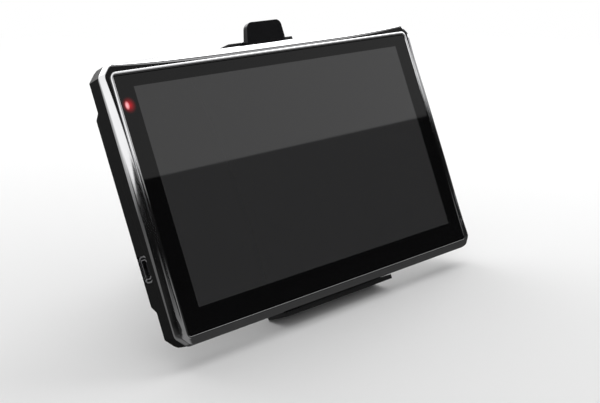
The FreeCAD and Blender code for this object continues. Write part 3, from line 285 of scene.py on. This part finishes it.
def pigment(colour):
    return colour if isinstance(colour, Signal) else (*colour, 1)


def tint(colour, amount):
    return tuple(channel * amount for channel in colour)


# Finishes
def moulded(name, colour, roughness, grain=0.22, depth=0.02, wear=0.35, **constants):
    """Moulded plastic: fine spark-eroded grain, slight cloudiness and polish on the rubbed spots."""
    finish = Finish(name, colour, roughness, **constants)
    cloud = finish.noise(9.0)
    finish.set("Base Color", finish.mix(cloud, tint(colour, 0.8), tint(colour, 1.25)))
    rubbed = finish.noise(4.0, 5.0)
    finish.set("Roughness", roughness + (rubbed - 0.5) * (wear * roughness))
    finish.bump(finish.cells(grain) + finish.noise(grain / 2) * 0.5, depth)
    return finish.material


def turned_metal(name, colour, roughness, grain=(1, 1, 14), **constants):
    """Metal with fine drawn lines and a faint bloom."""
    finish = Finish(name, colour, roughness, 1.0, **constants)
    lines = finish.noise(0.5, 4.0, grain)
    bloom = finish.noise(6.0)
    finish.set("Base Color", finish.mix(bloom, tint(colour, 0.82), tint(colour, 1.08)))
    finish.set("Roughness", roughness + (lines - 0.5) * (0.5 * roughness) + (bloom - 0.5) * 0.06)
    finish.bump(lines, 0.004)
    return finish.material


def soft_rubber(name, colour, roughness=0.55):
    finish = Finish(name, colour, roughness)
    dust = finish.noise(1.2, 6.0)
    finish.set("Base Color", finish.mix(dust.above(0.62, 0.25), colour, tint(colour, 1.9)))
    finish.set("Roughness", roughness + (dust - 0.5) * 0.25)
    finish.bump(finish.noise(0.3, 2.0), 0.012)
    return finish.material


def printed_glass():
    """Black border, slightly grey display that mirrors more than the border, and the lit indicator."""
    border = (0.0034, 0.0034, 0.0036)
    display = (0.0335, 0.0335, 0.0342)
    polish = 0.012
    print_blur = 0.12
    finish = Finish("printed_glass", border, polish, IOR=1.5)
    x, _, z = finish.device()
    inside = abs(x).below(DISPLAY_HALF_WIDTH, print_blur) * abs(z).below(DISPLAY_HALF_HEIGHT, print_blur)
    finish.set("Base Color", finish.mix(inside, border, display))
    finish.set("Coat Weight", inside)
    finish.set("Coat Roughness", polish)
    smear = finish.noise(14.0, 4.0, (1, 1, 2.4))
    finish.set("Roughness", 0.01 + smear.above(0.58, 0.2) * 0.012)
    core = finish.spread(x - LED_X, (z - LED_Z) * LED_STRETCH).below(LED_CORE, LED_CORE_BLUR)
    halo = finish.spread(x - LED_GLOW_X, z - LED_Z).below(LED_GLOW / 2, LED_GLOW) ** LED_FALL
    glow = finish.mix(core, (0.6, 0.006, 0.016), (1.0, 0.45, 0.48))
    light = core + halo
    finish.set("Emission Color", finish.mix(light.at_most(1.0), (0, 0, 0), glow))
    finish.set("Emission Strength", 1.0)
    return finish.material


def smoked_chrome():
    """Plated trim: a near mirror, slightly clouded and specked, with a faint orange peel."""
    colour = (0.78, 0.78, 0.79)
    finish = Finish("smoked_chrome", colour, 0.06, 1.0)
    cloud = finish.noise(11.0)
    finish.set("Base Color", finish.mix(cloud, tint(colour, 0.88), tint(colour, 1.06)))
    speck = finish.noise(0.35, 5.0)
    finish.set("Roughness", 0.04 + cloud * 0.03 + speck.above(0.66, 0.1) * 0.04)
    finish.bump(finish.noise(2.5, 2.0), 0.001)
    return finish.material


def solder_mask():
    """Green board with copper runs under the mask and bare pads."""
    green = (0.012, 0.12, 0.045)
    run_pitch = 1.3
    run_length = 5.0
    finish = Finish("solder_mask", green, 0.35, Coat_Weight=0.3)
    x, _, z = finish.device()
    across = (x / run_pitch).fraction().above(0.5, 0.12)
    lengthwise = (z / run_length).fraction().above(0.3, 0.1)
    runs = across * lengthwise
    patches = finish.noise(7.0, 2.0).above(0.5, 0.04)
    finish.set("Base Color", finish.mix(runs * patches, green, (0.03, 0.22, 0.08)))
    pads = finish.cells(1.8).below(0.12, 0.03)
    finish.set("Metallic", pads * patches)
    finish.set("Roughness", 0.42 - runs * 0.08)
    finish.bump(runs * patches, 0.02)
    return finish.material


def foil_pouch():
    colour = (0.60, 0.61, 0.64)
    finish = Finish("foil_pouch", colour, 0.3, 1.0)
    creases = finish.noise(5.0, 6.0)
    finish.set("Base Color", finish.mix(creases, tint(colour, 0.8), tint(colour, 1.1)))
    finish.set("Roughness", 0.24 + creases * 0.2)
    finish.bump(creases, 0.12)
    return finish.material


def woven_mesh():
    thread_pitch = 0.5
    hole_reach = 0.28
    finish = Finish("woven_mesh", (0.02, 0.02, 0.021), 0.7)
    x, _, z = finish.device()
    warp = abs((x / thread_pitch).fraction() - 0.5)
    weft = abs((z / thread_pitch).fraction() - 0.5)
    holes = warp.below(hole_reach, 0.1) * weft.below(hole_reach, 0.1)
    finish.set("Base Color", finish.mix(holes, (0.05, 0.05, 0.052), (0.004, 0.004, 0.004)))
    finish.set("Roughness", 0.6 + holes * 0.3)
    finish.bump(1 - holes, 0.1)
    return finish.material


def led_guide():
    finish = Finish("led_guide", (0.7, 0.05, 0.05), 0.2, Emission_Strength=1.0)
    glow = finish.noise(1.0)
    finish.set("Emission Color", finish.mix(glow, (0.9, 0.05, 0.05), (1.0, 0.3, 0.3)))
    finish.set("Roughness", 0.2 + glow * 0.1)
    return finish.material


FINISHES = {
    "black_glass": printed_glass(),
    "display": moulded("display_glass", (0.012, 0.012, 0.014), 0.08, depth=0.002),
    "dark_chrome": smoked_chrome(),
    "case_black": moulded("grained_black", (0.0042, 0.0042, 0.0045), 0.38, 0.28, 0.03,
                          Specular_IOR_Level=0.13),
    "cradle_black": moulded("satin_black", (0.0065, 0.0065, 0.007), 0.36, 0.35, 0.02,
                            Specular_IOR_Level=0.3),
    "gloss_black": moulded("polished_black", (0.008, 0.008, 0.009), 0.2, 0.6, 0.004),
    "tape": soft_rubber("foam_tape", (0.02, 0.02, 0.02)),
    "tray": moulded("white_tray", (0.7, 0.7, 0.72), 0.4),
    "board_green": solder_mask(),
    "chip": moulded("chip_package", (0.02, 0.02, 0.022), 0.5, 0.15),
    "can": turned_metal("tinned_sheet", (0.72, 0.72, 0.74), 0.3),
    "ceramic": moulded("fired_ceramic", (0.62, 0.55, 0.46), 0.3),
    "cell": foil_pouch(),
    "wire": moulded("wire_jacket", (0.4, 0.02, 0.02), 0.35),
    "mesh": woven_mesh(),
    "socket_steel": turned_metal("plated_sheet", (0.62, 0.62, 0.64), 0.28),
    "led": led_guide(),
    "ribbon": moulded("amber_film", (0.4, 0.2, 0.04), 0.25, depth=0.004),
    "steel": turned_metal("turned_steel", (0.55, 0.56, 0.58), 0.25),
    "screw_black": turned_metal("black_oxide", (0.05, 0.05, 0.055), 0.35),
    "pad": soft_rubber("foam_pad", (0.022, 0.022, 0.022), 0.8),
    "liner": moulded("waxy_white", (0.68, 0.66, 0.6), 0.38),
    "spring_steel": turned_metal("spring_wire", (0.6, 0.6, 0.62), 0.22),
    "brass": turned_metal("yellow_brass", (0.78, 0.56, 0.22), 0.28),
    "cup": soft_rubber("cup_rubber", (0.014, 0.014, 0.015), 0.38),
    "card": moulded("card_plastic", (0.015, 0.015, 0.016), 0.4),
}


# Shape helpers
def clipped_outline(half_width, top, bottom, clip, corner=CASE_CORNER_ROUND):
    """A rectangle with clipped and eased corners, as (x, z) points going round."""
    w, c = half_width, clip
    turns = [(w - c, top), (w, top - c), (w, bottom + c), (w - c, bottom),
             (c - w, bottom), (-w, bottom + c), (-w, top - c), (c - w, top)]
    points = []
    for index, turn in enumerate(turns):
        here = Vector(turn)
        before = Vector(turns[index - 1])
        following = Vector(turns[(index + 1) % len(turns)])
        shorter = min((before - here).length, (following - here).length)
        reach = min(corner, EASED_PART * shorter)
        start = here + (before - here).normalized() * reach
        end = here + (following - here).normalized() * reach
        for step in range(CORNER_STEPS + 1):
            t = step / CORNER_STEPS
            points.append(start.lerp(here, t).lerp(here.lerp(end, t), t))
        if index % 2:
            nearest = following + (here - following).normalized() * reach
            points += [end.lerp(nearest, step / SIDE_STEPS) for step in range(1, SIDE_STEPS)]
    return points


def mixed(first, second, share):
    return [a + (b - a) * share for a, b in zip(first, second)]


def inset_sizes(sizes, distance):
    half_width, top, bottom, clip = sizes
    return [half_width - distance, top - distance, bottom + distance,
            max(clip - distance * (2 - math.sqrt(2)), LEAST_CLIP)]


def ring_of(bm, points):
    """A closed loop of edges."""
    verts = [bm.verts.new(point) for point in points]
    return [bm.edges.new((verts[i - 1], verts[i])) for i in range(len(verts))]


def bridged(rings, closed=False):
    """Skins a row of like loops, and caps its ends or closes it on itself."""
    bm = bmesh.new()
    loops = [ring_of(bm, points) for points in rings]
    pairs = list(zip(loops, loops[1:]))
    if closed:
        pairs.append((loops[-1], loops[0]))
    for first, second in pairs:
        bmesh.ops.bridge_loops(bm, edges=first + second)
    if not closed:
        for loop in (loops[0], loops[-1]):
            bmesh.ops.contextual_create(bm, geom=loop)
    bmesh.ops.recalc_face_normals(bm, faces=bm.faces)
    return bm


def smoothed(mesh, angle):
    for face in mesh.polygons:
        face.use_smooth = True
    mesh.set_sharp_from_angle(angle=math.radians(angle))


def bevelled(piece, width, angle):
    edge = piece.modifiers.new("soft_edges", "BEVEL")
    edge.width = width * MM
    edge.segments = BEVEL_SEGMENTS
    edge.limit_method = "ANGLE"
    edge.angle_limit = math.radians(angle)
    edge.harden_normals = True
    edge.use_clamp_overlap = True


def add_piece(bm, name, body, slot, place=Matrix.Identity(4), stands_for=(), bevel=0.0, angle=SHARP_ANGLE):
    """Turns a bmesh in millimetres into a finished piece of the object."""
    bm.transform(place @ MILLIMETRES)
    mesh = bpy.data.meshes.new(name)
    bm.to_mesh(mesh)
    bm.free()
    smoothed(mesh, angle)
    piece = bpy.data.objects.new(name, mesh)
    bpy.context.scene.collection.objects.link(piece)
    mesh.materials.append(FINISHES[slot])
    if bevel:
        bevelled(piece, bevel, angle)
    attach(piece, body)
    if stands_for:
        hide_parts(*stands_for)


def softened(node, width):
    """A copy of a node's solid with its facets joined and its edges eased, which stands for the node."""
    bm = bmesh.new()
    bm.from_mesh(frame["nodes"][node].data)
    bmesh.ops.remove_doubles(bm, verts=bm.verts, dist=WELD_DISTANCE)
    bmesh.ops.dissolve_limit(bm, angle_limit=math.radians(FLAT_ANGLE), verts=bm.verts, edges=bm.edges)
    bm.transform(Matrix.Scale(1 / MM, 4))
    add_piece(bm, node + "_finished", body_of(node), slot_of(node), stands_for=(node,), bevel=width)


def body_of(node):
    bodies = frame["record"]["behaviour"]["bodies"]
    return next(body for body, members in bodies.items() if node in members)


def slot_of(node):
    return next(part["material_slot"] for part in frame["record"]["subparts"] if part["node"] == node)


# Front frame: outer slope, groove and inner lip round the glass
case_sizes = [CASE_HALF_WIDTH, CASE_TOP, CASE_BOTTOM, CASE_CLIP]
glass_sizes = [GLASS_HALF_WIDTH, GLASS_TOP, GLASS_BOTTOM, GLASS_CLIP]
opening_sizes = inset_sizes(glass_sizes, -OPENING_GAP)
CASE_MIDDLE = (CASE_TOP + CASE_BOTTOM) / 2
CASE_HALF_HEIGHT = (CASE_TOP - CASE_BOTTOM) / 2


def towards_corner(x, z):
    """0 half way along a side and 1 at its ends."""
    along_x = min(1.0, abs(x) / CASE_HALF_WIDTH)
    along_z = min(1.0, abs(z - CASE_MIDDLE) / CASE_HALF_HEIGHT)
    return min(along_x, along_z) ** 3


def towards_foot(z):
    """0 in the upper half of the frame and 1 along its lower side."""
    return min(1.0, max(0.0, z / (CASE_BOTTOM + FOOT_BAND))) ** 2


def frame_ring(share, depth, sweep=0.0, foot=0.0):
    """One loop of the frame, as (x, y, z) points. A pair of shares is for mid side and corner, and the depth
    grows by the sweep towards the corners and by the foot towards the lower side."""
    middle, corner = share if isinstance(share, tuple) else (share, share)
    points = []
    near = clipped_outline(*mixed(case_sizes, opening_sizes, middle))
    far = clipped_outline(*mixed(case_sizes, opening_sizes, corner))
    for (x, z), (corner_x, corner_z) in zip(near, far):
        ends = towards_corner(x, z)
        low = towards_foot(z)
        bend = sweep * ends * (1 - low) + foot * low
        points.append((x + (corner_x - x) * ends, depth + bend, z + (corner_z - z) * ends))
    return points


def frame_rings():
    """Loops from the parting line over the slope, the groove and the lip to the glass, and back inside."""
    rings = [frame_ring(RETURN_SHARE, PARTING_Y), frame_ring(0.0, PARTING_Y - PARTING_EASE),
             frame_ring(0.0, EDGE_Y + EDGE_EASE, EDGE_SWEEP, EDGE_FOOT)]
    for step in range(SLOPE_STEPS + 1):
        u = step / SLOPE_STEPS
        share = tuple(SLOPE_START + (end - SLOPE_START) * u for end in SLOPE_SHARE)
        depth = EDGE_Y - (EDGE_Y + CREST) * (1 - (1 - u) ** SLOPE_POWER)
        sweep, foot = mixed((EDGE_SWEEP, EDGE_FOOT), (CREST_SWEEP, CREST_FOOT), u)
        rings.append(frame_ring(share, depth, sweep, foot))
    past_slope = tuple(end + GROOVE_WALL for end in SLOPE_SHARE)
    rings.append(frame_ring(past_slope, GROOVE_Y, GROOVE_SWEEP, GROOVE_FOOT))
    return rings + [frame_ring(*loop) for loop in LIP_LOOPS + INNER_LOOPS]


add_piece(bridged(frame_rings(), closed=True), "frame_trim", "navigator", "dark_chrome", DEVICE,
          ("front_frame",), angle=40)


def upper_half(bm):
    """Cuts a ring down to what lies above the display's middle."""
    whole = bm.verts[:] + bm.edges[:] + bm.faces[:]
    cut = bmesh.ops.bisect_plane(bm, geom=whole, plane_co=(0, 0, 0), plane_no=(0, 0, 1), clear_inner=True)
    rim = [item for item in cut["geom_cut"] if isinstance(item, bmesh.types.BMEdge)]
    bmesh.ops.holes_fill(bm, edges=rim)
    bmesh.ops.recalc_face_normals(bm, faces=bm.faces)
    return bm


# Painted shade: a black sheet on the floor of the groove, widest at the upper corners, standing for the shade and
# dark reflection deep in the groove
shade_sheet_top = GROOVE_Y - SHADE_SHEET_LIFT
shade_sheet_base = GROOVE_Y + SHADE_SHEET_SINK
shade_sheet_corners = ((SHADE_SHEET_SHARE, shade_sheet_base), (SHADE_SHEET_SHARE, shade_sheet_top),
                 (LIP_SHARE, shade_sheet_top), (LIP_SHARE, shade_sheet_base))
shade_sheet_rings = [frame_ring(share, depth, GROOVE_SWEEP) for share, depth in shade_sheet_corners]
add_piece(upper_half(bridged(shade_sheet_rings, closed=True)), "groove_painted_shade", "navigator", "case_black", DEVICE)

# Cover glass, with a ground edge
glass_rings = []
for inset, depth in ((0.0, GLASS_THICKNESS), (0.0, GLASS_EDGE), (GLASS_EDGE, 0.0)):
    outline = clipped_outline(*inset_sizes(glass_sizes, inset), GLASS_CORNER_ROUND)
    glass_rings.append([(x, depth, z) for x, z in outline])
add_piece(bridged(glass_rings), "glass_sheet", "navigator", "black_glass", DEVICE, ("cover_glass",), angle=20)

# Eased copies of the moulded and turned parts
EASED = {"rear_cover": 0.3, "cradle_plate": 0.35, "release_latch": 0.45, "ball_socket": 0.3, "ring_nut": 0.35,
         "swivel_arm": 0.8, "clamp_knob": 0.6, "base_housing": 0.5, "suction_lever": 0.6, "suction_cup": 0.4,
         "power_button": 0.12, "clamp_bolt": 0.2, "audio_jack": 0.12, "ball_stem": 0.1, "plunger": 0.2,
         "memory_card": 0.08, "socket_screws": 0.12, "case_screws": 0.08}
for node, width in EASED.items():
    softened(node, width)

# Rim of the charging port
PORT_CLIP = 1.2
RIM_WIDTH = 0.55
RIM_PROUD = 0.2
RIM_SUNK = 0.4
port_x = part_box("usb_socket")[0][0] / MM


def port_ring(inset, depth):
    """A loop round the port's opening, on the left side of the case."""
    high = PORT_WIDTH / 2 - inset
    outline = clipped_outline(PORT_HEIGHT / 2 - inset, high, -high, PORT_CLIP)
    return [(port_x + depth, PORT_Y + y, PORT_Z + z) for y, z in outline]


rim_rings = [port_ring(0, RIM_SUNK), port_ring(0, -RIM_PROUD / 2), port_ring(RIM_PROUD / 2, -RIM_PROUD),
             port_ring(RIM_WIDTH, -RIM_PROUD), port_ring(RIM_WIDTH, RIM_SUNK)]
add_piece(bridged(rim_rings, closed=True), "port_rim", "navigator", "socket_steel", DEVICE)

# The nodes that keep their own solid get the finish of their slot
for part in frame["record"]["subparts"]:
    node = frame["nodes"][part["node"]]
    node.data.materials.clear()
    node.data.materials.append(FINISHES[part["material_slot"]])


# Camera at the photograph's viewing angle, placed from the display's centre in metres
FOCAL_LENGTH = 70.27
SENSOR_WIDTH = 36.0
CAMERA_X = -0.3475
CAMERA_Y = -0.3273
CAMERA_Z = 0.1127
CAMERA_DOWN = 15.21
CAMERA_TURN = -46.31
camera_data = bpy.data.cameras.new("camera")
camera = bpy.data.objects.new("camera", camera_data)
bpy.context.scene.collection.objects.link(camera)
camera_data.lens = FOCAL_LENGTH
camera_data.sensor_width = SENSOR_WIDTH
camera.location = (CAMERA_X, display_y + CAMERA_Y, display_z + CAMERA_Z)
camera.rotation_euler = (math.radians(90 - CAMERA_DOWN), 0, math.radians(CAMERA_TURN))
bpy.context.scene.camera = camera


# Studio
def aimed(location, target):
    return (Vector(target) - Vector(location)).to_track_quat("-Z", "Y").to_euler()


def soft_lamp(name, location, size, watts, target=(0, -0.05, 0.04)):
    light = bpy.data.lights.new(name, "AREA")
    light.shape = "DISK"
    light.size = size
    light.energy = watts
    lamp = bpy.data.objects.new(name, light)
    lamp.location = location
    lamp.rotation_euler = aimed(location, target)
    bpy.context.scene.collection.objects.link(lamp)


soft_lamp("key_lamp", (0.85, 0.1, 0.8), size=1.1, watts=7.2)
soft_lamp("back_lamp", (0.1, 0.8, 0.8), size=1.0, watts=4.4)

# A pale floor that stays white far off, and keeps the object's shadow near it
DIFFUSE_GLOW = 0.6
FLOOR_HALF = 4.0
FLOOR_NEAR = 0.3
FLOOR_FAR = 0.9
floor_mesh = bmesh.new()
bmesh.ops.create_grid(floor_mesh, x_segments=1, y_segments=1, size=FLOOR_HALF)
floor_data = bpy.data.meshes.new("floor")
floor_mesh.to_mesh(floor_data)
floor_mesh.free()
floor = bpy.data.objects.new("floor", floor_data)
bpy.context.scene.collection.objects.link(floor)
floor_finish = Finish("pale_floor", (0.82, 0.82, 0.82), 0.7)
floor_finish.set("Specular IOR Level", 0.1)
floor_spot = floor_finish.node("ShaderNodeTexCoord", output="Object")
floor_distance = floor_finish.node("ShaderNodeVectorMath", {"operation": "LENGTH"}, {0: floor_spot}, "Value")
far_off = floor_distance.above((FLOOR_NEAR + FLOOR_FAR) / 2, FLOOR_FAR - FLOOR_NEAR)
seen = floor_finish.seen()
white = floor_finish.node("ShaderNodeEmission", inputs={"Color": (1, 1, 1, 1)})
floor_finish.cover(far_off * seen, white)
floor_data.materials.append(floor_finish.material)
floor.visible_glossy = False

# Surroundings that the camera sees as white. Glass and metal show a large soft box from its lower edge
# upwards, and a dark room below it. The box's front edge mirrors as a level line across the cover glass.
MIRROR_LINE_Z = 8.0
LEFT_RISE = 0.1
RIGHT_RISE = 0.086
RIGHT_TURN = 0.036
EDGE_BLUR = 0.0015
SIDE_BLUR = 0.04
SOFT_BOX_GLOW = 1.15
SOFT_BOX_DIM = 0.42
ROOM_GLOW = 0.006
FLOOR_GLOW = 0.04
CARD_GLOW = 0.2
LEFT_CARD_SHARE = 0.6
device_axes = DEVICE.to_3x3()
eye = (DEVICE.inverted() @ camera.location) / MM
front_rise = (MIRROR_LINE_Z - eye.z) / -eye.y
world = bpy.data.worlds.new("studio")
bpy.context.scene.world = world
world.use_nodes = True
room = Studio(world.node_tree)
towards = room.node("ShaderNodeTexCoord", output="Generated")


def along(direction):
    """How far a ray goes along a direction of the device."""
    inputs = {0: towards, 1: device_axes @ Vector(direction)}
    return room.node("ShaderNodeVectorMath", {"operation": "DOT_PRODUCT"}, inputs, "Value")


right = along((1, 0, 0))
back = along((0, 1, 0))
up = along((0, 0, 1))
over_front = along((0, front_rise, 1)).above(0, EDGE_BLUR)
over_left = along((LEFT_RISE, 0, 1)).above(0, SIDE_BLUR)
over_right = along((-RIGHT_RISE, -RIGHT_TURN, 1)).above(SIDE_BLUR / 4, SIDE_BLUR / 2)
# The box is dimmer low down, at its right front corner and at its back on the left
dim_corner = right.above(0.47, 0.2) * back.below(-0.45, 0.2) * up.below(0.3, 0.1)
dim_back = back.above(0.62, 0.2) * right.below(0.1, 0.3) * up.below(0.55, 0.3)
dimmed = (dim_corner + dim_back).at_most(1.0)
box_glow = SOFT_BOX_GLOW - dimmed * (SOFT_BOX_GLOW - SOFT_BOX_DIM)
soft_box = over_front * over_left * over_right * box_glow

# Two pale cards, one low in front and one low at the back on the left
below = up.below(-0.08, 0.12) * FLOOR_GLOW
low_card = up.below(-0.02, 0.04) * right.above(-0.25, 0.2) * right.below(0.5, 0.1) * back.below(0, 0.2)
left_card = up.below(0.06, 0.1) * back.above(0.3, 0.3) * right.below(0, 0.2)
cards = (low_card + left_card * LEFT_CARD_SHARE) * CARD_GLOW
mirrored = soft_box + below + cards + ROOM_GLOW
glossy = room.node("ShaderNodeLightPath", output="Is Glossy Ray")
by_camera = room.node("ShaderNodeLightPath", output="Is Camera Ray")
plain = DIFFUSE_GLOW + by_camera * (1 - DIFFUSE_GLOW)
background = world.node_tree.nodes["Background"]
background.inputs["Color"].default_value = (1, 1, 1, 1)
room.feed(background.inputs["Strength"], glossy * mirrored + (1 - glossy) * plain)

bpy.context.scene.view_settings.view_transform = "Standard"
